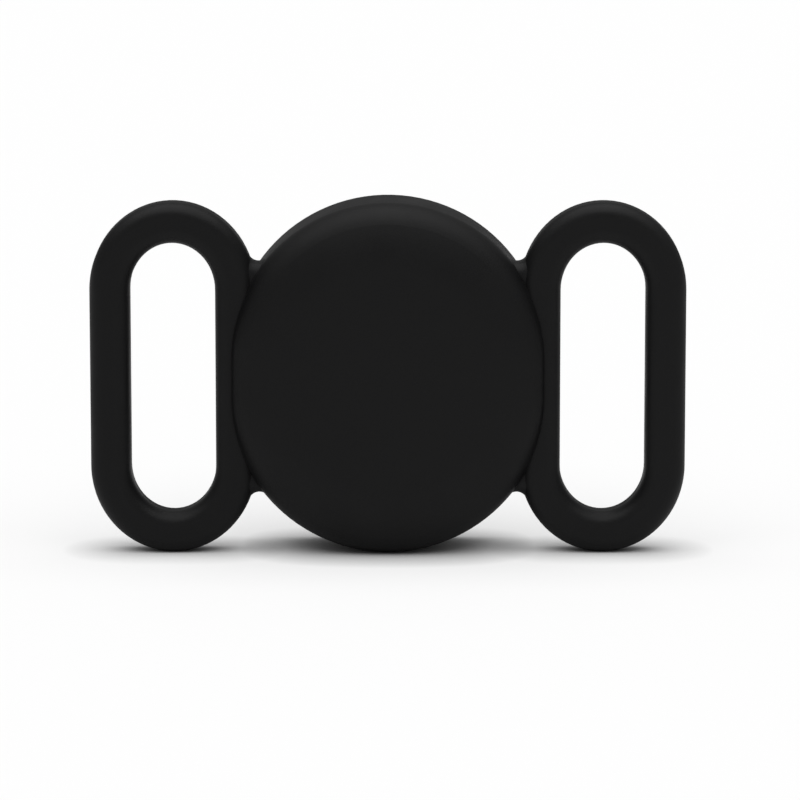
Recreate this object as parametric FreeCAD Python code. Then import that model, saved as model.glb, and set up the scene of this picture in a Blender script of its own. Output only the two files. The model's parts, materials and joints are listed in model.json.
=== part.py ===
import FreeCAD, Part
import math
import os

Vector = FreeCAD.Vector

# All lengths are in millimetres. The pieces are drawn round the depth axis, with the front towards
# minus Z, and the finished part is then stood up on its lower edge.

# Fit of the tag and the lid in the holder
tag_clearance = 0.2
seat_gap = 0.05
tag_play = 0.1
lid_clearance = 0.1
lug_clearance = 0.12
snug_gap = 0.03

# Moulded holder: disc
front_wall = 2.6
side_wall = 1.38
disc_straight = 4.5
dome_band = 7.5
dome_slope_deg = 22
rim_reach = 2.2
side_depth = 7.0
rear_taper_deg = 9
rear_round = 0.7
rear_trim = 0.05
pocket_corner = 2.2

# Moulded holder: strap loops and webs
slot_width = 10.19
bar_reveal = 1.7
loop_side_bar = 4.83
loop_end_bar = 4.9
loop_depth = 5.0
loop_advance = 1.2
loop_edge_round = 1.6
slot_edge_round = 1.6
loop_end_share = 1.065
slot_end_share = 1.11
web_depth = 4.2
web_round = 1.25
web_bite = 0.04
web_edge_round = 1.5
web_drop = 2.5
web_head_share = 0.4

# Twist lid, its lugs, seal and pad
lid_thickness = 2.0
lid_recess = 0.15
lid_edge_round = 0.3
lug_count = 4
lug_height = 0.55
lug_depth = 1.0
lug_root = 0.4
lug_span_deg = 24
lug_angle_deg = 60
lug_end_gap_deg = 2
thread_lead = 12.0
coin_slot_length = 15.0
coin_slot_width = 2.4
coin_slot_depth = 1.1
mark_diameter = 0.9
mark_depth = 0.3
seal_seat = 0.85
seal_thickness = 0.4
seal_margin = 0.15
pad_thickness = 0.5
pad_inset = 1.9

# Tag: front shell
shell_wall = 0.85
shell_corner = 2.4

# Tag: sounder
coil_bore = 8.0
coil_width = 0.8
coil_gap = 0.15
magnet_gap = 0.2
sounder_gap = 0.4
yoke_wall = 1.0
yoke_gap = 0.4
yoke_flange = 0.8
yoke_base = 0.4

# Tag: antenna carrier, antenna and board
carrier_bore_gap = 0.1
carrier_standoff = 0.75
carrier_plate = 0.6
carrier_rib = 0.8
carrier_rib_gap = 0.35
carrier_side_gap = 0.9
antenna_thickness = 0.15
antenna_width = 1.1
antenna_inset = 0.2
antenna_span_deg = 300
board_thickness = 0.6
board_gap = 0.2
board_margin = 0.3
can_height = 0.6
can_reach = 3.6
can_spans_deg = (52, 38)
can_angles_deg = (35, 150)
chip_widths = (1.6, 2.4, 1.0, 3.0, 1.2)
chip_reaches = (0.8, 2.0, 0.5, 1.6, 1.2)
chip_height_shares = (0.83, 0.92, 0.75, 0.83, 0.67)
chip_angles_deg = (105, 195, 225, 262, 322)

# Tag: battery tray
tray_clearance = 0.15
tray_floor = 0.4
headroom_gap = 0.1
tray_wall = 1.2
tray_flange = 0.8
ledge_reach = 0.55
flange_round = 0.4
guide_gap = 0.2
guide_wall = 0.9
guide_drop = 0.8
guide_slot_gap = 0.4

# Tag: coin cell and its contacts
cell_diameter = 20.0
cell_depth = 3.2
cell_sheet = 0.25
cell_crimp = 1.4
cap_step = 0.2
contact_sheet = 0.15
contact_width = 2.0
contact_height = 1.7
contact_foot = 2.2
contact_angles_deg = (30, 210)
leaf_length = 12.0
leaf_width = 2.4
leaf_boss_diameter = 2.4
leaf_rise = 0.05

# Tag: battery cover
cover_sheet = 0.35
cover_room = 0.35
cover_proud = 0.8
cover_gap = 0.3
cover_edge_round = 0.25
cover_ring_inset = 0.2
cover_ring_wall = 1.3
cover_ring_gap = 0.3
tab_count = 3
tab_depth = 0.4
tab_gap = 0.1
tab_side_gap = 0.15
tab_span_deg = 24
tab_slack_deg = 2
unlock_angle_deg = 25
cover_seal_gap = 0.1
cover_seal_margin = 0.325

# One overrun serves every cut, and points closer than same_point are one point
overrun = 1.0
same_point = 0.001
halving_steps = 40

# Sizes that follow from the ones above
full_turn_deg = 360

# Depths inside the tag, counted from its front face
carrier_front = shell_wall + carrier_standoff
board_front = carrier_front + carrier_plate
board_rear = board_front + board_thickness
tray_front = board_rear + can_height + headroom_gap
tray_inside = tray_front + tray_floor
cell_front = tray_inside + contact_sheet + leaf_rise
cell_rear = cell_front + cell_depth
guide_rear = cell_rear - guide_drop
cover_inside = cell_rear + cover_room
tag_depth = cover_inside + cover_sheet
flange_rear = tag_depth - cover_proud
shell_depth = flange_rear - tray_flange
tab_rear = shell_depth - tab_gap
tab_front = tab_rear - tab_depth

# Radii inside the tag, from the coin cell outwards
cell_radius = cell_diameter / 2
guide_inside = cell_radius + guide_gap
guide_outside = guide_inside + guide_wall
cover_ring_inside = guide_outside + cover_ring_gap
cover_ring_outside = cover_ring_inside + cover_ring_wall
cover_radius = cover_ring_outside + cover_ring_inset
ledge_radius = cover_radius + cover_gap
tray_channel = ledge_radius + ledge_reach
tab_radius = tray_channel - tab_side_gap
tray_outside = tray_channel + tray_wall
shell_inside = tray_outside + tray_clearance
tag_radius = shell_inside + shell_wall

# Radii in front of the coin cell, from the sounder outwards and from the shell inwards
coil_inside = coil_bore / 2
coil_outside = coil_inside + coil_width
magnet_radius = coil_inside - sounder_gap
yoke_inside = coil_outside + sounder_gap
yoke_outside = yoke_inside + yoke_wall
yoke_flange_radius = yoke_outside + yoke_flange
carrier_inside = yoke_outside + carrier_bore_gap
carrier_outside = shell_inside - carrier_side_gap
antenna_outside = carrier_outside - antenna_inset
antenna_inside = antenna_outside - antenna_width
board_inside = yoke_flange_radius + board_gap
board_outside = antenna_inside - board_margin
board_middle = (board_inside + board_outside) / 2

# Holder round the tag
pocket_radius = tag_radius + tag_clearance
lid_bore_radius = pocket_radius + seal_seat
lid_radius = lid_bore_radius - lid_clearance
lug_tip_radius = lid_radius + lug_height
groove_radius = lug_tip_radius + lug_clearance
disc_half_width = groove_radius + side_wall
disc_rise = disc_straight / 2
disc_half_height = disc_half_width + disc_rise
disc_depth = front_wall + seat_gap + tag_depth + tag_play + pad_thickness + lid_thickness + lid_recess
disc_front = -disc_depth / 2
disc_rear = disc_depth / 2
dome_slope = math.radians(dome_slope_deg)
rear_taper = math.radians(rear_taper_deg)
dome_radius = (dome_band - rim_reach) / math.sin(dome_slope)
rim_radius = rim_reach / (1 - math.sin(dome_slope))
dome_drop = dome_radius * (1 - math.cos(dome_slope))
rim_depth = disc_front + dome_drop + rim_radius * math.cos(dome_slope)
side_end = rim_depth + side_depth
back_depth = disc_rear + rear_trim - rear_round
taper_drop = (back_depth - side_end) * math.tan(rear_taper)
back_radius = disc_half_width - taper_drop - rear_round / math.cos(rear_taper)
pocket_floor = disc_front + front_wall
tag_front = pocket_floor + seat_gap
lid_front = tag_front + tag_depth + tag_play + pad_thickness
lid_rear = lid_front + lid_thickness
lid_middle = lid_front + lid_thickness / 2
seal_front = lid_front - seal_thickness
lid_seat = seal_front - seat_gap
slot_half_width = slot_width / 2
loop_half_width = slot_half_width + loop_side_bar
loop_centre = disc_half_width + bar_reveal + slot_half_width
slot_half_length = disc_half_height - loop_end_bar


def cylinder(radius, start, end):
    return Part.makeCylinder(radius, end - start, Vector(0, 0, start))


def ring(inside, outside, start, end):
    return cylinder(outside, start, end).cut(cylinder(inside, start - overrun, end + overrun))


def sector(inside, outside, start, end, middle_deg, span_deg):
    wedge = Part.makeCylinder(outside, end - start, Vector(0, 0, start), Vector(0, 0, 1), span_deg)
    piece = wedge.cut(cylinder(inside, start - overrun, end + overrun))
    piece.rotate(Vector(), Vector(0, 0, 1), middle_deg - span_deg / 2)
    return piece


def block(near, far, width, start, end, angle_deg):
    piece = Part.makeBox(far - near, width, end - start, Vector(near, -width / 2, start))
    piece.rotate(Vector(), Vector(0, 0, 1), angle_deg)
    return piece


def arc(centre_radius, centre_depth, radius, start_deg, end_deg):
    # Arc in the half plane of radius and depth, as its start, middle and end points
    points = []
    for angle_deg in (start_deg, (start_deg + end_deg) / 2, end_deg):
        angle = math.radians(angle_deg)
        across = centre_radius + radius * math.cos(angle)
        points.append(Vector(across, 0, centre_depth + radius * math.sin(angle)))
    return points


def profile_face(stretches):
    # Face in the half plane of radius and depth, from straight corners and three-point arcs
    edges = []
    last = stretches[-1][-1]
    for points in stretches:
        if (points[0] - last).Length > same_point:
            edges.append(Part.LineSegment(last, points[0]).toShape())
        if len(points) > 1:
            edges.append(Part.Arc(*points).toShape())
        last = points[-1]
    return Part.Face(Part.Wire(edges))


def turned(stretches):
    # Solid turned about the depth axis
    return profile_face(stretches).revolve(Vector(), Vector(0, 0, 1), full_turn_deg)


def corner(radius, depth):
    return [Vector(radius, 0, depth)]


def stadium(half_width, half_length, end_share, start, end):
    # Upright slot outline with slightly tall round ends, as a prism
    rise = half_width * end_share
    straight = half_length - rise
    right_foot = Vector(half_width, -straight, start)
    right_head = Vector(half_width, straight, start)
    left_head = Vector(-half_width, straight, start)
    left_foot = Vector(-half_width, -straight, start)
    edges = [Part.LineSegment(right_foot, right_head).toShape()]
    edges.append(round_end(half_width, rise, Vector(0, straight, start), 0))
    edges.append(Part.LineSegment(left_head, left_foot).toShape())
    edges.append(round_end(half_width, rise, Vector(0, -straight, start), math.pi))
    return Part.Face(Part.Wire(edges)).extrude(Vector(0, 0, end - start))


def round_end(half_width, rise, centre, first):
    # Half of an ellipse, from one straight side of a slot outline to the other
    if rise >= half_width:
        whole = Part.Ellipse(centre + Vector(0, rise, 0), centre + Vector(-half_width, 0, 0), centre)
        first = first - math.pi / 2
    else:
        whole = Part.Ellipse(centre + Vector(half_width, 0, 0), centre + Vector(0, rise, 0), centre)
    return Part.ArcOfEllipse(whole, first, first + math.pi).toShape()


def helical_lug(inside, outside, depth, middle, start_deg, end_deg):
    # Rectangular rib that climbs towards the rear as it goes round
    height = thread_lead * (end_deg - start_deg) / full_turn_deg
    first = middle + thread_lead * (start_deg - lug_angle_deg) / full_turn_deg
    path = Part.makeHelix(thread_lead, height, outside)
    low = -depth / 2
    high = depth / 2
    places = ((inside, low), (outside, low), (outside, high), (inside, high), (inside, low))
    section = Part.makePolygon([Vector(across, 0, deep) for across, deep in places])
    rib = Part.Wire(path).makePipeShell([section], True, True)
    rib.rotate(Vector(), Vector(0, 0, 1), start_deg)
    rib.translate(Vector(0, 0, first))
    return rib


def repeated(shape, count):
    copies = []
    for index in range(count):
        copy = shape.copy()
        copy.rotate(Vector(), Vector(0, 0, 1), index * full_turn_deg / count)
        copies.append(copy)
    return copies


def disc_blank():
    # Flat front, soft dome, rounded rim, straight side, taper to a small rear rounding that is trimmed flat.
    # The outline is two half rounds with a short straight stretch between them
    dome = arc(disc_half_width - dome_band, disc_front + dome_radius, dome_radius, -90, dome_slope_deg - 90)
    rim = arc(disc_half_width - rim_radius, rim_depth, rim_radius, dome_slope_deg - 90, 0)
    side = corner(disc_half_width, side_end)
    back = arc(back_radius, back_depth, rear_round, rear_taper_deg, 90)
    rear = disc_rear + rear_trim
    half = profile_face([corner(0, disc_front), dome, rim, side, back, corner(0, rear)])
    half.translate(Vector(0, -disc_rise, 0))
    right = half.extrude(Vector(0, disc_straight, 0))
    left = right.mirror(Vector(), Vector(1, 0, 0))
    foot = half.revolve(Vector(0, -disc_rise, 0), Vector(0, 0, 1), -full_turn_deg / 2)
    head = foot.mirror(Vector(), Vector(0, 1, 0))
    blank = right.fuse([left, foot, head]).removeSplitter()
    return blank.cut(cylinder(disc_half_height + disc_half_width, disc_rear, rear + overrun))


def strap_loop():
    front = -loop_depth / 2
    rear = loop_depth / 2
    outer = stadium(loop_half_width, disc_half_height, loop_end_share, front, rear)
    outer = outer.makeFillet(loop_edge_round, face_edges(outer))
    slot = stadium(slot_half_width, slot_half_length, slot_end_share, front - overrun, rear + overrun)
    loop = outer.cut(slot)
    return loop.makeFillet(slot_edge_round, slot_edges(loop))


def face_edges(prism):
    # Edges that lie flat in the front or rear face of a prism
    box = prism.BoundBox
    flat = []
    for edge in prism.Edges:
        if edge.BoundBox.ZLength < snug_gap and near_end(edge, box):
            flat.append(edge)
    return flat


def near_end(edge, box):
    middle = edge.BoundBox.Center.z
    return min(abs(middle - box.ZMin), abs(middle - box.ZMax)) < snug_gap


def slot_edges(loop):
    # Front and rear edges of the strap slot
    edges = []
    for edge in face_edges(loop):
        box = edge.BoundBox
        within = max(abs(box.XMin), abs(box.XMax)) < slot_half_width + snug_gap
        if within and max(abs(box.YMin), abs(box.YMax)) < slot_half_length + snug_gap:
            edges.append(edge)
    return edges


def notch_middle():
    # Middle of the round notch that touches both the disc and the right-hand loop, found by halving
    pad = stadium(loop_half_width, disc_half_height, loop_end_share, -web_depth / 2, web_depth / 2)
    pad.translate(Vector(loop_centre, 0, 0))
    low = 0
    high = math.pi / 2
    for step in range(halving_steps):
        turn = (low + high) / 2
        outward = Vector(math.cos(turn), math.sin(turn), 0)
        middle = Vector(0, disc_rise, 0) + outward * (disc_half_width + web_round)
        if pad.distToShape(Part.Vertex(middle))[0] < web_round:
            low = turn
        else:
            high = turn
    return middle


def webs():
    # Block between disc and loop in each notch: its round end bites a little into both and has soft edges
    middle = notch_middle()
    front = -web_depth / 2
    rear = web_depth / 2
    reach = web_round + web_bite + web_edge_round
    soft_front = arc(reach, front + web_edge_round, web_edge_round, 270, 180)
    soft_rear = arc(reach, rear - web_edge_round, web_edge_round, 180, 90)
    before = [corner(0, front - overrun), corner(reach, front - overrun)]
    behind = [corner(reach, rear + overrun), corner(0, rear + overrun)]
    notch = turned(before + [soft_front, soft_rear] + behind)
    notch.translate(middle)
    head = middle.y - web_round * (1 - web_head_share)
    foot = middle.y - web_round - web_drop
    start = Vector(middle.x - web_round, foot, front)
    web = Part.makeBox(2 * web_round, head - foot, web_depth, start).cut(notch)
    right = [web, web.mirror(Vector(), Vector(0, 1, 0))]
    left = [piece.mirror(Vector(), Vector(1, 0, 0)) for piece in right]
    return right + left


def pocket():
    # Room for the tag, wider where the lid goes in
    start = pocket_floor + pocket_corner
    bend = arc(pocket_radius - pocket_corner, start, pocket_corner, -90, 0)
    seat = [corner(pocket_radius, lid_seat), corner(lid_bore_radius, lid_seat)]
    mouth = [corner(lid_bore_radius, disc_rear + overrun), corner(0, disc_rear + overrun)]
    return turned([corner(0, pocket_floor), bend] + seat + mouth)


def lid_grooves():
    # Helical ways for the lid's lugs, open at the rear face
    depth = lug_depth + 2 * lug_clearance
    start_deg = lug_angle_deg - lug_span_deg / 2 - lug_end_gap_deg
    climb = disc_rear - lid_middle + depth
    end_deg = lug_angle_deg + full_turn_deg * climb / thread_lead
    inside = lid_bore_radius - lug_root
    return repeated(helical_lug(inside, groove_radius, depth, lid_middle, start_deg, end_deg), lug_count)


def mark(radius, depth):
    # Round dimple near the top that shows where the lid is closed
    return Part.makeCylinder(mark_diameter / 2, mark_depth + overrun, Vector(0, -radius, depth - mark_depth))


def holder_body():
    body = disc_blank()
    for side in (-1, 1):
        loop = strap_loop()
        loop.translate(Vector(side * loop_centre, 0, -loop_advance))
        body = body.fuse(loop)
    for web in webs():
        web.translate(Vector(0, 0, -loop_advance))
        body = body.fuse(web)
    body = body.cut(pocket())
    for groove in lid_grooves():
        body = body.cut(groove)
    return body.cut(mark((groove_radius + back_radius + disc_rise) / 2, disc_rear))


def rear_lid():
    edge = arc(lid_radius - lid_edge_round, lid_rear - lid_edge_round, lid_edge_round, 0, 90)
    lid = turned([corner(0, lid_front), corner(lid_radius, lid_front), edge, corner(0, lid_rear)])
    start_deg = lug_angle_deg - lug_span_deg / 2
    end_deg = lug_angle_deg + lug_span_deg / 2
    lug = helical_lug(lid_radius - lug_root, lug_tip_radius, lug_depth, lid_middle, start_deg, end_deg)
    for copy in repeated(lug, lug_count):
        lid = lid.fuse(copy)
    slot_floor = lid_rear - coin_slot_depth
    slot = stadium(coin_slot_width / 2, coin_slot_length / 2, 1, slot_floor, lid_rear + overrun)
    slot.rotate(Vector(), Vector(0, 0, 1), 90)
    return lid.cut(slot).cut(mark(lid_radius - mark_diameter * 2, lid_rear))


def lid_seal():
    return ring(pocket_radius + seal_margin, lid_bore_radius - seal_margin, seal_front, lid_front)


def lid_pad():
    return cylinder(cover_radius - pad_inset, lid_front - pad_thickness, lid_front)


def tag_front_shell():
    bend_radius = tag_radius - shell_corner
    outer = arc(bend_radius, shell_corner, shell_corner, -90, 0)
    inner = arc(bend_radius, shell_corner, shell_corner - shell_wall, 0, -90)
    rim = [corner(tag_radius, shell_depth), corner(shell_inside, shell_depth)]
    return turned([corner(0, 0), outer] + rim + [inner, corner(0, shell_wall)])


def voice_coil():
    return ring(coil_inside, coil_outside, shell_wall, board_front - coil_gap)


def speaker_magnet():
    return cylinder(magnet_radius, shell_wall + magnet_gap, board_front)


def speaker_yoke():
    wall = ring(yoke_inside, yoke_outside, shell_wall + yoke_gap, board_front)
    return wall.fuse(cylinder(yoke_flange_radius, board_front, board_front + yoke_base)).removeSplitter()


def antenna_carrier():
    carrier = ring(carrier_inside, carrier_outside, carrier_front, board_front)
    rib_outside = tag_radius - shell_corner - carrier_rib_gap
    inner_rib = ring(carrier_inside, carrier_inside + carrier_rib, shell_wall, carrier_front)
    outer_rib = ring(rib_outside - carrier_rib, rib_outside, shell_wall, carrier_front)
    return carrier.fuse(inner_rib).fuse(outer_rib).removeSplitter()


def antenna_ring():
    rear = board_front + antenna_thickness
    return sector(antenna_inside, antenna_outside, board_front, rear, 0, antenna_span_deg)


def circuit_board():
    return ring(board_inside, board_outside, board_front, board_rear)


def shield_cans():
    cans = []
    inside = board_middle - can_reach / 2
    outside = board_middle + can_reach / 2
    for middle_deg, span_deg in zip(can_angles_deg, can_spans_deg):
        cans.append(sector(inside, outside, board_rear, board_rear + can_height, middle_deg, span_deg))
    return Part.makeCompound(cans)


def board_chips():
    chips = []
    for index, angle_deg in enumerate(chip_angles_deg):
        near = board_middle - chip_reaches[index] / 2
        far = board_middle + chip_reaches[index] / 2
        rear = board_rear + can_height * chip_height_shares[index]
        chips.append(block(near, far, chip_widths[index], board_rear, rear, angle_deg))
    return Part.makeCompound(chips)


def battery_tray():
    edge = arc(tag_radius - flange_round, flange_rear - flange_round, flange_round, 0, 90)
    foot = [corner(0, tray_front), corner(tray_outside, tray_front), corner(tray_outside, shell_depth)]
    ledge = [corner(ledge_radius, flange_rear), corner(ledge_radius, shell_depth)]
    lip = [corner(tag_radius, shell_depth), edge] + ledge
    well = [corner(tray_channel, shell_depth), corner(tray_channel, tray_inside), corner(0, tray_inside)]
    tray = turned(foot + lip + well)
    tray = tray.fuse(ring(guide_inside, guide_outside, tray_inside, guide_rear))
    way = contact_width + 2 * guide_slot_gap
    for angle_deg in contact_angles_deg:
        far = guide_outside + guide_wall
        tray = tray.cut(block(cell_radius, far, way, tray_inside, guide_rear + overrun, angle_deg))
    notch_deg = tab_span_deg + 2 * tab_slack_deg
    notch = sector(cover_radius, tray_channel, tab_rear, flange_rear + overrun, unlock_angle_deg, notch_deg)
    for copy in repeated(notch, tab_count):
        tray = tray.cut(copy)
    return tray.removeSplitter()


def positive_contacts():
    # Angled leaves: a foot on the tray floor and an upright beside the cell
    contacts = []
    near = cell_radius + seat_gap
    for angle_deg in contact_angles_deg:
        head_rear = tray_inside + contact_height
        foot_rear = tray_inside + contact_sheet
        upright = block(near, near + contact_sheet, contact_width, tray_inside, head_rear, angle_deg)
        foot = block(near, near + contact_foot, contact_width, tray_inside, foot_rear, angle_deg)
        contacts.append(upright.fuse(foot).removeSplitter())
    return Part.makeCompound(contacts)


def negative_contact():
    leaf = block(-leaf_length / 2, leaf_length / 2, leaf_width, tray_inside, tray_inside + contact_sheet, 0)
    boss = cylinder(leaf_boss_diameter / 2, tray_inside, cell_front)
    return leaf.fuse(boss).removeSplitter()


def coin_cell_can():
    base = cylinder(cell_radius, cell_rear - cell_sheet, cell_rear)
    wall = ring(cell_radius - cell_sheet, cell_radius, cell_front + cap_step, cell_rear - cell_sheet)
    return base.fuse(wall).removeSplitter()


def coin_cell_gasket():
    outside = cell_radius - cell_sheet - snug_gap
    inside = cell_radius - cell_crimp + snug_gap
    return ring(inside, outside, cell_front + cap_step, cell_rear - cell_sheet - snug_gap)


def coin_cell_cap():
    outside = cell_radius - cell_crimp
    rear = cell_rear - cell_sheet - cap_step
    base = cylinder(outside, cell_front, cell_front + cell_sheet)
    return base.fuse(ring(outside - cell_sheet, outside, cell_front + cell_sheet, rear)).removeSplitter()


def cover_ring():
    band = ring(cover_ring_inside, cover_ring_outside, tab_front, cover_inside)
    tab = sector(cover_ring_outside - cover_ring_wall / 2, tab_radius, tab_front, tab_rear, 0, tab_span_deg)
    for copy in repeated(tab, tab_count):
        band = band.fuse(copy)
    return band.removeSplitter()


def cover_seal():
    inside = cover_ring_outside + snug_gap
    outside = ledge_radius - cover_seal_gap
    return ring(inside, outside, tab_rear + cover_seal_margin, cover_inside - cover_seal_margin)


def battery_cover():
    edge = arc(cover_radius - cover_edge_round, tag_depth - cover_edge_round, cover_edge_round, 0, 90)
    return turned([corner(0, cover_inside), corner(cover_radius, cover_inside), edge, corner(0, tag_depth)])


def stand(shape):
    # Turns the depth axis to run front to rear and lifts the part on to its lower edge
    shape.rotate(Vector(), Vector(1, 0, 0), -90)
    shape.translate(Vector(0, 0, disc_half_height))
    return shape


holder_pieces = (holder_body, rear_lid, lid_seal, lid_pad)
tag_pieces = (
    tag_front_shell,
    voice_coil,
    speaker_magnet,
    speaker_yoke,
    antenna_carrier,
    antenna_ring,
    circuit_board,
    shield_cans,
    board_chips,
    battery_tray,
    positive_contacts,
    negative_contact,
    coin_cell_can,
    coin_cell_gasket,
    coin_cell_cap,
    cover_ring,
    cover_seal,
    battery_cover,
)

os.makedirs("parts", exist_ok=True)
for make in holder_pieces + tag_pieces:
    piece = make()
    if make in tag_pieces:
        piece.translate(Vector(0, 0, tag_front))
    piece = stand(piece)
    piece.exportStep("parts/" + make.__name__ + ".step")
    print(make.__name__, piece.isValid(), len(piece.Solids), round(piece.Volume, 3))
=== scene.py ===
import bmesh
import bpy
import json
import math
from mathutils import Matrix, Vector


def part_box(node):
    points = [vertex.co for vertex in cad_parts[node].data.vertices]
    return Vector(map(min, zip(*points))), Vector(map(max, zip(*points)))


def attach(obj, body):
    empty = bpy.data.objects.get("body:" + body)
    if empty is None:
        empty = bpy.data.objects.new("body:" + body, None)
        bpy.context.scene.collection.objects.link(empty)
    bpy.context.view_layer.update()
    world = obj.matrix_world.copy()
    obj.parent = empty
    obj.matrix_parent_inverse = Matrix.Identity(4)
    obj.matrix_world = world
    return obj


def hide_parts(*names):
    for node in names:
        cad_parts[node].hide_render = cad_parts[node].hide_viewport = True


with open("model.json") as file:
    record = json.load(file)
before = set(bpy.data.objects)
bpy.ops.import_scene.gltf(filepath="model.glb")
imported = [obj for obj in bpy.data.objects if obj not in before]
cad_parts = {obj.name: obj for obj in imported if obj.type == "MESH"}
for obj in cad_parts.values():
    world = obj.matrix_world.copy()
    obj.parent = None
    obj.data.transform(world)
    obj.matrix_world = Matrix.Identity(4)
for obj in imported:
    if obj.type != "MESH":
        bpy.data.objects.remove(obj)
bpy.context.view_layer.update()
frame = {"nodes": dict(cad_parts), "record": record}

nodes = frame["nodes"]
holderLow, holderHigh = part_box("holder_body")
axisHeight = (holderLow.z + holderHigh.z) / 2  # height of the lid's and the tag's common axis
print("frame loaded:", len(nodes), "nodes, axis at", round(axisHeight, 5))


# Small helpers for node trees

def addNode(tree, kind, **settings):
    node = tree.nodes.new(kind)
    for label, value in settings.items():
        setattr(node, label, value)
    return node


def fill(node, values):
    # Sets or links input sockets by name
    for label, value in values.items():
        if isinstance(value, bpy.types.NodeSocket):
            node.id_data.links.new(value, node.inputs[label])
        else:
            node.inputs[label].default_value = value
    return node


def calc(tree, operation, first, second=0.5):
    # Operations on one value, such as ABSOLUTE, leave second out
    node = addNode(tree, "ShaderNodeMath", operation=operation)
    for socket, value in zip(node.inputs, (first, second)):
        if isinstance(value, bpy.types.NodeSocket):
            tree.links.new(value, socket)
        else:
            socket.default_value = value
    return node.outputs[0]


def remap(tree, value, low, high, toLow, toHigh):
    node = addNode(tree, "ShaderNodeMapRange", interpolation_type="SMOOTHSTEP")
    fill(node, {"Value": value, "From Min": low, "From Max": high, "To Min": toLow, "To Max": toHigh})
    return node.outputs["Result"]


def mixColour(tree, factor, first, second):
    # A colour mix has its factor in input 0, its colours in 6 and 7 and its result in output 2
    node = addNode(tree, "ShaderNodeMix", data_type="RGBA")
    for socket, value in zip((node.inputs[0], node.inputs[6], node.inputs[7]), (factor, first, second)):
        if isinstance(value, bpy.types.NodeSocket):
            tree.links.new(value, socket)
        elif isinstance(value, tuple):
            socket.default_value = (*value, 1)
        else:
            socket.default_value = value
    return node.outputs[2]


def objectPlace(tree):
    return addNode(tree, "ShaderNodeTexCoord").outputs["Object"]


def depthOf(tree, place):
    # Place along the common axis, from the closed front to the lid
    return fill(addNode(tree, "ShaderNodeSeparateXYZ"), {"Vector": place}).outputs["Y"]


def noise(tree, place, scale, detail):
    node = addNode(tree, "ShaderNodeTexNoise")
    return fill(node, {"Vector": place, "Scale": scale, "Detail": detail}).outputs["Fac"]


def axisDistance(tree, place):
    # Distance from the lid's and the tag's common axis
    centred = addNode(tree, "ShaderNodeMapping")
    fill(centred, {"Vector": place, "Location": (0, 0, -axisHeight), "Scale": (1, 0, 1)})
    radius = addNode(tree, "ShaderNodeVectorMath", operation="LENGTH")
    tree.links.new(centred.outputs["Vector"], radius.inputs[0])
    return radius.outputs["Value"]


def newGroup(name, inputs, outputs):
    tree = bpy.data.node_groups.new(name, "ShaderNodeTree")
    for label, value in inputs.items():
        socket = tree.interface.new_socket(label, in_out="INPUT", socket_type="NodeSocketFloat")
        socket.default_value = value
    for label in outputs:
        tree.interface.new_socket(label, in_out="OUTPUT", socket_type="NodeSocketFloat")
    return tree, tree.nodes.new("NodeGroupInput").outputs, tree.nodes.new("NodeGroupOutput")


def useGroup(tree, group, values):
    node = addNode(tree, "ShaderNodeGroup", node_tree=group)
    return fill(node, values).outputs


# Shared surface effects

mouldGrainLook = {
    "grainScale": 5000, "grainDetail": 2.0, "pitShare": 0.5,
    "mottleScale": 150, "mottleDetail": 5.0, "mottleBand": (0.35, 0.65),
}


def makeMouldGrain(look):
    # Spark-eroded mould texture and soft tone patches
    scales = {"Grain Scale": look["grainScale"], "Mottle Scale": look["mottleScale"]}
    tree, given, result = newGroup("mouldGrain", scales, ["Height", "Mottle"])
    place = objectPlace(tree)
    grain = noise(tree, place, given["Grain Scale"], look["grainDetail"])
    pits = fill(addNode(tree, "ShaderNodeTexVoronoi"), {"Vector": place, "Scale": given["Grain Scale"]})
    mottle = noise(tree, place, given["Mottle Scale"], look["mottleDetail"])
    pitDepth = calc(tree, "MULTIPLY", pits.outputs["Distance"], look["pitShare"])
    patches = remap(tree, mottle, *look["mottleBand"], 0.0, 1.0)
    fill(result, {"Height": calc(tree, "ADD", grain, pitDepth), "Mottle": patches})
    return tree


rubAndPaintedLightLook = {
    "edgeReach": 0.0006, "creaseReach": 0.0006, "samples": 8, "closedBand": (0.06, 0.45),
    "patchScale": 700, "patchDetail": 4.0, "patchBand": (0.3, 0.65), "patchLeast": 0.6,
}


def makeRubAndPaintedLight(look):
    # Masks for convex edges and for creases, found by ambient occlusion: the materials use them for polish
    # from handling and dust, and also for painted highlights on edges and painted shade in creases
    reaches = {"Edge Reach": look["edgeReach"], "Crease Reach": look["creaseReach"]}
    tree, given, result = newGroup("rubAndPaintedLight", reaches, ["Edge", "Crease"])
    patch = noise(tree, objectPlace(tree), look["patchScale"], look["patchDetail"])
    broken = remap(tree, patch, *look["patchBand"], look["patchLeast"], 1.0)
    for mask, inside in (("Edge", True), ("Crease", False)):
        probe = addNode(tree, "ShaderNodeAmbientOcclusion", inside=inside, only_local=True)
        probe.samples = look["samples"]
        fill(probe, {"Distance": given[mask + " Reach"]})
        closed = calc(tree, "SUBTRACT", 1.0, probe.outputs["AO"])
        reached = remap(tree, closed, *look["closedBand"], 0.0, 1.0)
        fill(result, {mask: calc(tree, "MULTIPLY", reached, broken)})
    return tree


turnedLinesLook = {
    "lineScale": 9000, "lineDetail": 3.0,
    "smudgeScale": 220, "smudgeDetail": 6.0, "smudgeBand": (0.35, 0.7),
}


def makeTurnedLines(look):
    # Fine circles round the common axis, as left by turning or by a rotary brush
    scales = {"Line Scale": look["lineScale"], "Smudge Scale": look["smudgeScale"]}
    tree, given, result = newGroup("turnedLines", scales, ["Height", "Smudge"])
    place = objectPlace(tree)
    lines = addNode(tree, "ShaderNodeTexNoise", noise_dimensions="1D")
    fill(lines, {"W": axisDistance(tree, place), "Scale": given["Line Scale"], "Detail": look["lineDetail"]})
    smudge = noise(tree, place, given["Smudge Scale"], look["smudgeDetail"])
    smears = remap(tree, smudge, *look["smudgeBand"], 0.0, 1.0)
    fill(result, {"Height": lines.outputs["Fac"], "Smudge": smears})
    return tree


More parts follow.
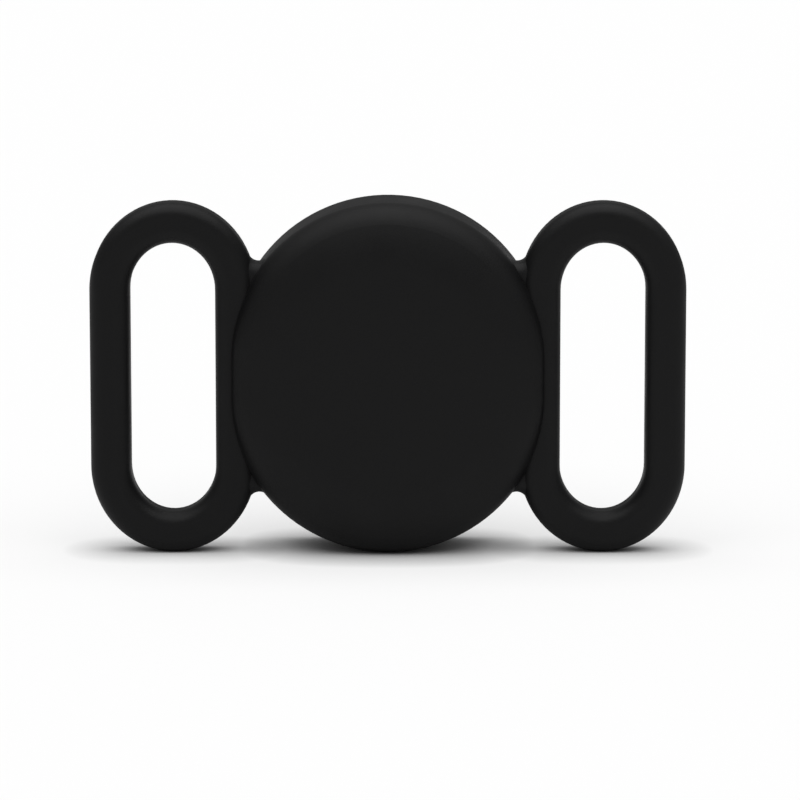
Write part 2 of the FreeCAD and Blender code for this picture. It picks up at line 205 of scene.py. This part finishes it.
hairlinesLook = {
    "scuffScale": 200, "thinness": 120, "turnsDeg": (18, 77, 141), "detail": 2.0, "scuffBand": (0.68, 0.76),
}


def makeHairlines(look):
    # Sparse straight scuffs in three directions, from pockets and handling
    tree, given, result = newGroup("hairlines", {"Scuff Scale": look["scuffScale"]}, ["Scuff"])
    place = objectPlace(tree)
    scuff = 0.0
    for turnDeg in look["turnsDeg"]:
        laid = addNode(tree, "ShaderNodeMapping")
        fill(laid, {"Vector": place, "Rotation": (0, math.radians(turnDeg), 0)})
        parts = fill(addNode(tree, "ShaderNodeSeparateXYZ"), {"Vector": laid.outputs["Vector"]}).outputs
        squeezed = calc(tree, "MULTIPLY", parts["Z"], look["thinness"])
        thin = fill(addNode(tree, "ShaderNodeCombineXYZ"), {"X": parts["X"], "Y": parts["Y"], "Z": squeezed})
        streak = noise(tree, thin.outputs["Vector"], given["Scuff Scale"], look["detail"])
        scuff = calc(tree, "MAXIMUM", remap(tree, streak, *look["scuffBand"], 0.0, 1.0), scuff)
    fill(result, {"Scuff": scuff})
    return tree


mouldGrain = makeMouldGrain(mouldGrainLook)
rubAndPaintedLight = makeRubAndPaintedLight(rubAndPaintedLightLook)
turnedLines = makeTurnedLines(turnedLinesLook)
hairlines = makeHairlines(hairlinesLook)
print("surface effects ready: 4 groups")


# Kinds of finish

def newMaterial(name, constants):
    material = bpy.data.materials.new(name)
    material.use_nodes = True
    shader = material.node_tree.nodes["Principled BSDF"]
    fill(shader, constants)
    return material, material.node_tree, shader


def bumpFrom(tree, height, depth):
    node = addNode(tree, "ShaderNodeBump")
    return fill(node, {"Strength": 1.0, "Distance": depth, "Height": height}).outputs["Normal"]


def rubAndPaintedLightMasks(tree, look):
    return useGroup(tree, rubAndPaintedLight, {"Edge Reach": look["edgeReach"], "Crease Reach": look["creaseReach"]})


def wearAndPaintedLightColour(tree, tone, rubAndLightMasks, look):
    # Lighter at the edges from polish and bare metal, and on the black plastics also a painted highlight; in
    # the creases lighter dust on the seal and darker painted shade on the other parts
    edge = calc(tree, "MULTIPLY", rubAndLightMasks["Edge"], look["edgeWearAndHighlightAmount"])
    creaseDustAndShade = calc(tree, "MULTIPLY", rubAndLightMasks["Crease"], look["creaseDustAndShadeAmount"])
    edgeWornAndHighlighted = mixColour(tree, edge, tone, look["edgeWearAndHighlightColour"])
    return mixColour(tree, creaseDustAndShade, edgeWornAndHighlighted, look["creaseDustAndShadeColour"])


def mouldedPlastic(name, look, relief=None):
    # Plastic or rubber from a mould; relief adds height of its own to the mould's texture
    constants = {"Specular IOR Level": look["specular"], "Coat Weight": look["coat"]}
    material, tree, shader = newMaterial(name, constants)
    scales = {"Grain Scale": look["grainScale"], "Mottle Scale": look["mottleScale"]}
    grain = useGroup(tree, mouldGrain, scales)
    rubAndLightMasks = rubAndPaintedLightMasks(tree, look)
    scuff = useGroup(tree, hairlines, {"Scuff Scale": look["scuffScale"]})["Scuff"]
    tone = mixColour(tree, grain["Mottle"], look["colour"], look["patchColour"])
    rough = remap(tree, grain["Mottle"], 0.0, 1.0, *look["roughness"])
    changes = [(rubAndLightMasks["Edge"], "edgeRough"), (rubAndLightMasks["Crease"], "creaseRough"), (scuff, "scuffRough")]
    for mask, change in changes:
        rough = calc(tree, "ADD", rough, calc(tree, "MULTIPLY", mask, look[change]))
    height = grain["Height"] if relief is None else calc(tree, "ADD", grain["Height"], relief(tree))
    # The base colour gets painted highlights at edges and painted shade in creases, besides real wear
    fill(shader, {"Base Color": wearAndPaintedLightColour(tree, tone, rubAndLightMasks, look), "Roughness": rough})
    fill(shader, {"Normal": bumpFrom(tree, height, look["grainDepth"])})
    return material


def platedMetal(name, look):
    # Turned, rolled or brushed metal with a thin plating that wears off at its edges
    material, tree, shader = newMaterial(name, {"Metallic": 1.0})
    scales = {"Line Scale": look["lineScale"], "Smudge Scale": look["smudgeScale"]}
    turned = useGroup(tree, turnedLines, scales)
    rubAndLightMasks = rubAndPaintedLightMasks(tree, look)
    scuff = useGroup(tree, hairlines, {"Scuff Scale": look["scuffScale"]})["Scuff"]
    tone = mixColour(tree, turned["Smudge"], look["colour"], look["smudgeColour"])
    smear = calc(tree, "MULTIPLY", turned["Smudge"], look["smudgeShare"])
    streak = calc(tree, "MULTIPLY", turned["Height"], 1 - look["smudgeShare"])
    rough = remap(tree, calc(tree, "ADD", smear, streak), 0.0, 1.0, *look["roughness"])
    rough = calc(tree, "ADD", rough, calc(tree, "MULTIPLY", scuff, look["scuffRough"]))
    # The base colour gets painted shade in creases, besides plating worn off at the edges
    fill(shader, {"Base Color": wearAndPaintedLightColour(tree, tone, rubAndLightMasks, look), "Roughness": rough})
    fill(shader, {"Normal": bumpFrom(tree, turned["Height"], look["lineDepth"])})
    return material


# Holder, lid and seals

finishes = {}

holderLook = {
    "colour": (0.0028, 0.0028, 0.003), "patchColour": (0.0036, 0.0036, 0.0038),
    # The lighter edge colour is partly polish from handling and partly a painted highlight on the rounded
    # edges
    "edgeWearAndHighlightColour": (0.02, 0.02, 0.0205), "edgeWearAndHighlightAmount": 0.9, "edgeRough": -0.24, "edgeReach": 0.0014,
    # The crease colour, darker than the plastic, is painted shade in the creases
    "creaseDustAndShadeColour": (0.002, 0.002, 0.002), "creaseDustAndShadeAmount": 0.5, "creaseRough": 0.2, "creaseReach": 0.0006,
    "roughness": (0.52, 0.58), "specular": 0.18, "coat": 0.0,
    "grainScale": 5200, "grainDepth": 0.000012, "mottleScale": 140,
    "scuffScale": 160, "scuffRough": -0.06,
}
# Where the mould's halves met, in the middle of the loops
partingLook = {"place": -0.0012, "width": 0.00009, "rise": 1.5}
lidLook = {
    **holderLook,
    "colour": (0.0042, 0.0042, 0.0044), "patchColour": (0.0054, 0.0054, 0.0056),
    # Lighter edges here are partly polish and partly a painted highlight; the crease colour from the holder,
    # darker than this plastic, is painted shade
    "edgeWearAndHighlightColour": (0.014, 0.014, 0.0145), "edgeWearAndHighlightAmount": 0.5, "edgeReach": 0.0004,
    "roughness": (0.52, 0.62), "grainScale": 4200, "scuffRough": -0.1,
}
lidTurningLook = {"lineScale": 2600, "rise": 0.9}
sealLook = {
    **holderLook,
    "colour": (0.022, 0.022, 0.024), "patchColour": (0.034, 0.034, 0.035),
    "edgeWearAndHighlightColour": (0.055, 0.055, 0.056), "edgeWearAndHighlightAmount": 0.5, "edgeRough": 0.05, "edgeReach": 0.0002,
    "creaseDustAndShadeColour": (0.06, 0.058, 0.055), "creaseDustAndShadeAmount": 0.4, "creaseRough": 0.1, "creaseReach": 0.0002,
    "roughness": (0.62, 0.76), "specular": 0.35,
    "grainScale": 7000, "grainDepth": 0.000008, "mottleScale": 420,
}


def partingLine(tree):
    depth = depthOf(tree, objectPlace(tree))
    away = calc(tree, "ABSOLUTE", calc(tree, "SUBTRACT", depth, partingLook["place"]))
    return remap(tree, away, 0.0, partingLook["width"], partingLook["rise"], 0.0)


def lidTurning(tree):
    turned = useGroup(tree, turnedLines, {"Line Scale": lidTurningLook["lineScale"]})
    return calc(tree, "MULTIPLY", turned["Height"], lidTurningLook["rise"])


finishes["holder_black"] = mouldedPlastic("holderBlack", holderLook, partingLine)
finishes["lid_black"] = mouldedPlastic("lidBlack", lidLook, lidTurning)
finishes["seal_rubber"] = mouldedPlastic("sealRubber", sealLook)
print("holder, lid and seal finishes ready")


# Foam pad inside the lid: die-cut disc with a soft front edge and sides that pull in

padLook = {
    "steps": 96, "frontEdge": 0.00022, "sideHollow": 0.00005, "crown": 0.00006,
    "backRing": 0.5, "crownRing": 0.6, "crownShare": 1 / 3, "mergeDistance": 1e-6,
    "colour": (0.035, 0.035, 0.038), "cellColour": (0.062, 0.062, 0.066), "roughness": (0.82, 0.95),
    "cellScale": 2600, "cellBand": (0.1, 0.6), "cellDepth": 0.00005,
    "mottleScale": 300, "mottleLeast": 0.6, "specular": 0.2,
}


def closedFoam(name, look):
    material, tree, shader = newMaterial(name, {"Specular IOR Level": look["specular"]})
    foam = addNode(tree, "ShaderNodeTexVoronoi")
    cells = fill(foam, {"Vector": objectPlace(tree), "Scale": look["cellScale"]}).outputs["Distance"]
    mottle = useGroup(tree, mouldGrain, {"Mottle Scale": look["mottleScale"]})["Mottle"]
    openShare = remap(tree, cells, *look["cellBand"], 0.0, 1.0)
    shade = calc(tree, "MULTIPLY", openShare, remap(tree, mottle, 0.0, 1.0, look["mottleLeast"], 1.0))
    fill(shader, {"Base Color": mixColour(tree, shade, look["colour"], look["cellColour"])})
    fill(shader, {"Roughness": remap(tree, mottle, 0.0, 1.0, *look["roughness"])})
    fill(shader, {"Normal": bumpFrom(tree, cells, look["cellDepth"])})
    return material


def makeLidPad(look):
    low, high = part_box("lid_pad")
    radius = (high.x - low.x) / 2
    front, back = low.y, high.y
    edge, hollow, crown = look["frontEdge"], look["sideHollow"], look["crown"]
    outline = [
        (0.0, back), (radius * look["backRing"], back), (radius - edge, back), (radius - hollow, back),
        (radius - hollow * 2, (front + back) / 2), (radius - hollow, front + crown + edge / 2),
        (radius - edge, front + crown), (radius * look["crownRing"], front + crown * look["crownShare"]),
        (0.0, front),
    ]
    shape = bmesh.new()
    points = [shape.verts.new((across, depth, axisHeight)) for across, depth in outline]
    edges = [shape.edges.new(pair) for pair in zip(points, points[1:])]
    bmesh.ops.spin(
        shape, geom=points + edges, cent=(0, 0, axisHeight), axis=(0, 1, 0), angle=math.tau,
        steps=look["steps"], use_merge=True,
    )
    bmesh.ops.remove_doubles(shape, verts=shape.verts, dist=look["mergeDistance"])
    bmesh.ops.recalc_face_normals(shape, faces=shape.faces)
    for face in shape.faces:
        face.smooth = True
    mesh = bpy.data.meshes.new("lidPad")
    shape.to_mesh(mesh)
    shape.free()
    mesh.materials.append(finishes["pad_foam"])
    pad = bpy.data.objects.new("lidPad", mesh)
    bpy.context.scene.collection.objects.link(pad)
    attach(pad, "lid")
    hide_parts("lid_pad")
    return pad


finishes["pad_foam"] = closedFoam("padFoam", padLook)
lidPad = makeLidPad(padLook)
print("lid pad ready:", len(lidPad.data.polygons), "faces")


# Plastics of the tag

# In these plastics the crease colour is darker than the plastic: painted shade in the creases
tagShellLook = {
    **holderLook,
    "colour": (0.78, 0.78, 0.765), "patchColour": (0.74, 0.74, 0.725),
    "edgeWearAndHighlightColour": (0.82, 0.82, 0.81), "edgeWearAndHighlightAmount": 0.4, "edgeRough": 0.08, "edgeReach": 0.0004,
    "creaseDustAndShadeColour": (0.55, 0.54, 0.51), "creaseDustAndShadeAmount": 0.5, "creaseRough": 0.15, "creaseReach": 0.0004,
    "roughness": (0.16, 0.24), "specular": 0.5, "coat": 0.25,
    "grainScale": 2600, "grainDepth": 0.000002, "mottleScale": 90, "scuffScale": 180, "scuffRough": 0.14,
}
trayLook = {
    **tagShellLook,
    "colour": (0.74, 0.74, 0.72), "patchColour": (0.70, 0.70, 0.68),
    "roughness": (0.36, 0.46), "coat": 0.0, "grainScale": 5200, "grainDepth": 0.000006,
}
carrierLook = {
    **holderLook,
    "colour": (0.042, 0.042, 0.046), "patchColour": (0.054, 0.054, 0.058),
    "edgeWearAndHighlightColour": (0.09, 0.09, 0.095), "creaseDustAndShadeColour": (0.02, 0.02, 0.022),
    "edgeReach": 0.0002, "creaseReach": 0.0002, "creaseRough": 0.3,
    "roughness": (0.48, 0.58), "specular": 0.4,
}
coverRingLook = {
    **carrierLook,
    "colour": (0.105, 0.105, 0.11), "patchColour": (0.13, 0.13, 0.135),
    "edgeWearAndHighlightColour": (0.2, 0.2, 0.205), "creaseDustAndShadeColour": (0.05, 0.05, 0.05), "roughness": (0.42, 0.52),
}
gasketLook = {
    **carrierLook,
    "colour": (0.33, 0.33, 0.34), "patchColour": (0.38, 0.38, 0.385), "edgeWearAndHighlightColour": (0.46, 0.46, 0.46),
    "creaseDustAndShadeColour": (0.2, 0.2, 0.2), "roughness": (0.4, 0.5), "edgeReach": 0.00015,
}
chipLook = {
    **carrierLook,
    "colour": (0.016, 0.016, 0.018), "patchColour": (0.024, 0.024, 0.026),
    "edgeWearAndHighlightColour": (0.05, 0.05, 0.052), "edgeReach": 0.0001, "creaseDustAndShadeColour": (0.01, 0.01, 0.01),
    "roughness": (0.5, 0.66), "grainScale": 12000, "grainDepth": 0.00001,
}
finishes["tag_white"] = mouldedPlastic("tagWhite", tagShellLook)
finishes["tray_white"] = mouldedPlastic("trayWhite", trayLook)
finishes["carrier_grey"] = mouldedPlastic("carrierGrey", carrierLook)
finishes["cover_ring_grey"] = mouldedPlastic("coverRingGrey", coverRingLook)
finishes["gasket_grey"] = mouldedPlastic("gasketGrey", gasketLook)
finishes["chip_black"] = mouldedPlastic("chipBlack", chipLook)


# Metals of the tag

# In these metals the crease colour is darker than the metal: painted shade in the creases
coverSteelLook = {
    "colour": (0.60, 0.60, 0.59), "smudgeColour": (0.54, 0.54, 0.53),
    "edgeWearAndHighlightColour": (0.68, 0.68, 0.67), "edgeWearAndHighlightAmount": 0.6, "edgeReach": 0.0003,
    "creaseDustAndShadeColour": (0.3, 0.29, 0.28), "creaseDustAndShadeAmount": 0.5, "creaseReach": 0.0003,
    "roughness": (0.18, 0.32), "scuffScale": 120, "scuffRough": 0.1,
    "lineScale": 14000, "lineDepth": 0.0000015, "smudgeScale": 160, "smudgeShare": 0.7,
}
cellSteelLook = {
    **coverSteelLook,
    "colour": (0.56, 0.55, 0.53), "smudgeColour": (0.48, 0.47, 0.45),
    "roughness": (0.24, 0.38), "lineScale": 9000,
}
yokeSteelLook = {
    **coverSteelLook,
    "colour": (0.46, 0.46, 0.47), "smudgeColour": (0.38, 0.38, 0.39), "roughness": (0.32, 0.46),
    "lineScale": 7000, "lineDepth": 0.000003, "edgeReach": 0.0002,
}
magnetLook = {
    **coverSteelLook,
    "colour": (0.58, 0.57, 0.53), "smudgeColour": (0.52, 0.51, 0.47),
    "roughness": (0.14, 0.26), "edgeReach": 0.0002,
}
canSteelLook = {
    **coverSteelLook,
    "colour": (0.56, 0.56, 0.55), "smudgeColour": (0.48, 0.48, 0.47), "roughness": (0.3, 0.48),
    "smudgeScale": 500, "lineDepth": 0.000001, "edgeReach": 0.00015,
}
contactGoldLook = {
    **coverSteelLook,
    "colour": (0.74, 0.55, 0.24), "smudgeColour": (0.66, 0.48, 0.21),
    "edgeWearAndHighlightColour": (0.62, 0.56, 0.45), "creaseDustAndShadeColour": (0.36, 0.24, 0.1),
    "roughness": (0.2, 0.34), "smudgeScale": 600, "lineScale": 11000, "edgeReach": 0.0001,
}
antennaGoldLook = {
    **contactGoldLook,
    "colour": (0.72, 0.52, 0.22), "smudgeColour": (0.62, 0.42, 0.18), "roughness": (0.26, 0.4),
}
finishes["cover_steel"] = platedMetal("coverSteel", coverSteelLook)
finishes["cell_steel"] = platedMetal("cellSteel", cellSteelLook)
finishes["yoke_steel"] = platedMetal("yokeSteel", yokeSteelLook)
finishes["magnet_nickel"] = platedMetal("magnetNickel", magnetLook)
finishes["can_steel"] = platedMetal("canSteel", canSteelLook)
finishes["contact_gold"] = platedMetal("contactGold", contactGoldLook)
finishes["antenna_gold"] = platedMetal("antennaGold", antennaGoldLook)


# Voice coil: lacquered copper wire, its turns side by side round the axis

coilLook = {
    "colour": (0.62, 0.25, 0.10), "grooveShadeColour": (0.22, 0.07, 0.03), "wirePitch": 0.00011,
    "wireDepth": 0.00003, "roughness": (0.26, 0.4), "coat": 0.4, "smudgeScale": 500, "smudgeShade": 0.8,
}


def woundCopper(name, look):
    material, tree, shader = newMaterial(name, {"Metallic": 1.0, "Coat Weight": look["coat"]})
    place = objectPlace(tree)
    ways = (depthOf(tree, place), axisDistance(tree, place))
    perMetre = math.tau / look["wirePitch"]
    ridges = [calc(tree, "SINE", calc(tree, "MULTIPLY", way, perMetre)) for way in ways]
    turns = remap(tree, calc(tree, "ADD", *ridges), -1.0, 1.0, 0.0, 1.0)
    smudge = useGroup(tree, turnedLines, {"Smudge Scale": look["smudgeScale"]})["Smudge"]
    lit = calc(tree, "MULTIPLY", turns, remap(tree, smudge, 0.0, 1.0, 1.0, look["smudgeShade"]))
    # Between the turns the colour goes to the darker groove colour: painted shade in the grooves
    fill(shader, {"Base Color": mixColour(tree, lit, look["grooveShadeColour"], look["colour"])})
    fill(shader, {"Roughness": remap(tree, smudge, 0.0, 1.0, *look["roughness"])})
    fill(shader, {"Normal": bumpFrom(tree, turns, look["wireDepth"])})
    return material


finishes["coil_copper"] = woundCopper("coilCopper", coilLook)


# Circuit board: tracks and plated holes under green lacquer, bare laminate at the cut edge

boardLook = {
    "maskColour": (0.010, 0.070, 0.032), "trackColour": (0.026, 0.135, 0.062),
    "holeColour": (0.62, 0.46, 0.2), "laminateColour": (0.34, 0.29, 0.15),
    "trackTurnsDeg": (0, 45), "trackScale": 240, "trackWidth": 0.022, "trackDepth": 0.000018,
    "trackOffset": 0.35, "trackSquash": 0.6, "trackSquashEvery": 3,
    "holeScale": 620, "holeSize": 0.2, "holeRim": 0.8,
    "skinShare": 0.14, "roughness": (0.3, 0.42), "coat": 0.2,
}


def lacqueredBoard(name, look):
    low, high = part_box("circuit_board")
    material, tree, shader = newMaterial(name, {"Coat Weight": look["coat"]})
    place = objectPlace(tree)
    tracks = 0.0
    for turnDeg in look["trackTurnsDeg"]:
        flat = addNode(tree, "ShaderNodeMapping")
        fill(flat, {"Vector": place, "Rotation": (math.radians(90), 0, math.radians(turnDeg))})
        grid = addNode(tree, "ShaderNodeTexBrick", offset=look["trackOffset"], squash=look["trackSquash"])
        grid.squash_frequency = look["trackSquashEvery"]
        fill(grid, {"Vector": flat.outputs["Vector"], "Scale": look["trackScale"]})
        fill(grid, {"Mortar Size": look["trackWidth"]})
        tracks = calc(tree, "MAXIMUM", grid.outputs["Fac"], tracks)
    dots = fill(addNode(tree, "ShaderNodeTexVoronoi"), {"Vector": place, "Scale": look["holeScale"]})
    holeInside = look["holeSize"] * look["holeRim"]
    hole = remap(tree, dots.outputs["Distance"], holeInside, look["holeSize"], 1.0, 0.0)
    fromMiddle = calc(tree, "SUBTRACT", depthOf(tree, place), (low.y + high.y) / 2)
    half = (high.y - low.y) / 2
    skinFrom, skinTo = half * (1 - 2 * look["skinShare"]), half * (1 - look["skinShare"])
    skin = remap(tree, calc(tree, "ABSOLUTE", fromMiddle), skinFrom, skinTo, 0.0, 1.0)
    lacquer = mixColour(tree, tracks, look["maskColour"], look["trackColour"])
    plated = mixColour(tree, hole, lacquer, look["holeColour"])
    smudge = useGroup(tree, turnedLines, {})["Smudge"]
    fill(shader, {"Base Color": mixColour(tree, skin, look["laminateColour"], plated)})
    fill(shader, {"Metallic": calc(tree, "MULTIPLY", hole, skin)})
    fill(shader, {"Roughness": remap(tree, smudge, 0.0, 1.0, *look["roughness"])})
    fill(shader, {"Normal": bumpFrom(tree, tracks, look["trackDepth"])})
    return material


finishes["board_green"] = lacqueredBoard("boardGreen", boardLook)

for subpart in frame["record"]["subparts"]:
    for slot in nodes[subpart["node"]].material_slots:
        slot.material = finishes[subpart["material_slot"]]
print("finishes ready:", len(finishes))


# Stage, light and camera

stageLook = {
    "floorSize": 3.0, "floorColour": 0.45, "floorGlow": 0.46,
    "paintedShadowReach": 0.007, "paintedShadowPower": 2.0, "paintedShadowSamples": 16, "ambient": 0.3,
}
sunLook = {"strength": 2.85, "spreadDeg": 84, "tiltDeg": 12}
cameraLook = {
    "elevationDeg": 10.0, "distance": 0.61, "nearest": 0.0122, "aim": (0.00145, 0.0, 0.0181),
    "pixelsPerMetre": 8310, "imagePixels": 800, "sensor": 36.0,
}


def cameraWhite(tree):
    # 1 for camera, glossy and transmission rays, which see the floor as plain white
    path = addNode(tree, "ShaderNodeLightPath").outputs
    seen = calc(tree, "MAXIMUM", path["Is Camera Ray"], path["Is Glossy Ray"])
    return calc(tree, "MAXIMUM", seen, path["Is Transmission Ray"])


def makeFloor(look):
    mesh = bpy.data.meshes.new("floor")
    shape = bmesh.new()
    bmesh.ops.create_grid(shape, x_segments=1, y_segments=1, size=look["floorSize"])
    shape.to_mesh(mesh)
    shape.free()
    floor = bpy.data.objects.new("floor", mesh)
    bpy.context.scene.collection.objects.link(floor)
    material = bpy.data.materials.new("floorWhite")
    material.use_nodes = True
    tree = material.node_tree
    tree.nodes.clear()
    paint = addNode(tree, "ShaderNodeBsdfDiffuse")
    paint.inputs["Color"].default_value = (look["floorColour"],) * 3 + (1,)
    # An ambient occlusion probe dims the floor's glow near the object: a painted contact shadow over the
    # real shadow on the floor paint
    shadowProbe = addNode(tree, "ShaderNodeAmbientOcclusion", samples=look["paintedShadowSamples"])
    fill(shadowProbe, {"Distance": look["paintedShadowReach"]})
    openShare = calc(tree, "POWER", shadowProbe.outputs["AO"], look["paintedShadowPower"])
    level = calc(tree, "MULTIPLY", openShare, look["floorGlow"])
    seenLevel = calc(tree, "MULTIPLY", cameraWhite(tree), level)
    glow = fill(addNode(tree, "ShaderNodeEmission"), {"Strength": seenLevel})
    both = addNode(tree, "ShaderNodeAddShader")
    tree.links.new(paint.outputs[0], both.inputs[0])
    tree.links.new(glow.outputs[0], both.inputs[1])
    tree.links.new(both.outputs[0], addNode(tree, "ShaderNodeOutputMaterial").inputs["Surface"])
    mesh.materials.append(material)


def makeWorld(look):
    world = bpy.data.worlds.new("studio")
    bpy.context.scene.world = world
    world.use_nodes = True
    sky = world.node_tree.nodes["Background"]
    fill(sky, {"Color": (1, 1, 1, 1), "Strength": look["ambient"]})


def makeSun(look):
    lamp = bpy.data.lights.new("overheadSoftbox", "SUN")
    lamp.energy = look["strength"]
    lamp.angle = math.radians(look["spreadDeg"])
    sun = bpy.data.objects.new("overheadSoftbox", lamp)
    sun.rotation_euler = (math.radians(look["tiltDeg"]), 0, 0)
    bpy.context.scene.collection.objects.link(sun)


def makeCamera(look):
    lens = bpy.data.cameras.new("camera")
    lens.sensor_width = look["sensor"]
    lens.lens = look["sensor"] * look["pixelsPerMetre"] * look["distance"] / look["imagePixels"]
    lens.clip_start = look["nearest"]
    camera = bpy.data.objects.new("camera", lens)
    rise = math.radians(look["elevationDeg"])
    away = Vector((0, -math.cos(rise), math.sin(rise)))
    camera.location = Vector(look["aim"]) + away * look["distance"]
    camera.rotation_euler = (-away).to_track_quat("-Z", "Y").to_euler()
    bpy.context.scene.collection.objects.link(camera)
    bpy.context.scene.camera = camera


makeFloor(stageLook)
makeWorld(stageLook)
makeSun(sunLook)
makeCamera(cameraLook)
bpy.context.scene.view_settings.view_transform = "Standard"
print("stage, light and camera ready")
